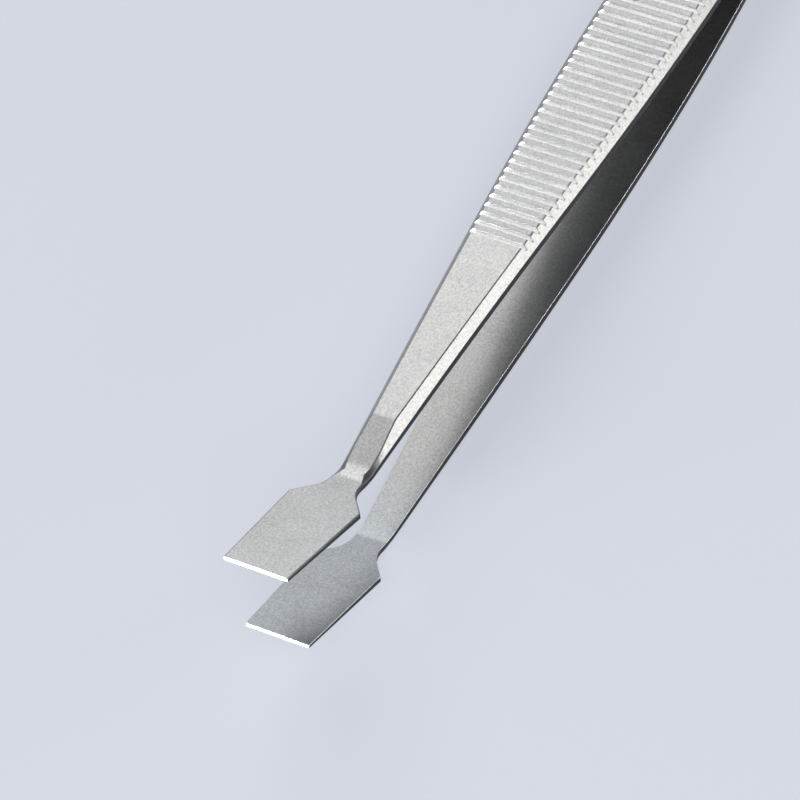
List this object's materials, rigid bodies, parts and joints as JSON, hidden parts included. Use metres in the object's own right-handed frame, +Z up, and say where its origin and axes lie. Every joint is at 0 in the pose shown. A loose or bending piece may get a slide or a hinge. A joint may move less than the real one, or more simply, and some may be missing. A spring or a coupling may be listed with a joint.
{
  "type": "spade tip tweezers",
  "caption": "Angled spade tweezers: two sprung steel arms welded at the tail, ribbed finger grips and thin square blades for lifting flat wafers and chips.",
  "frame": {"origin": "on the surface the tweezers lie on, under the middle of their length and width", "axes": "+X from the tail end to the blade tips, +Y across the width, +Z up; the lower arm lies on the surface"},
  "size_m": [0.1198, 0.0098, 0.0187],
  "materials": {
    "blasted_steel": "matte glass-bead blasted stainless steel"
  },
  "bodies": {
    "root": {"upper_arm": "blasted_steel", "lower_arm": "blasted_steel"}
  },
  "joints": []
}
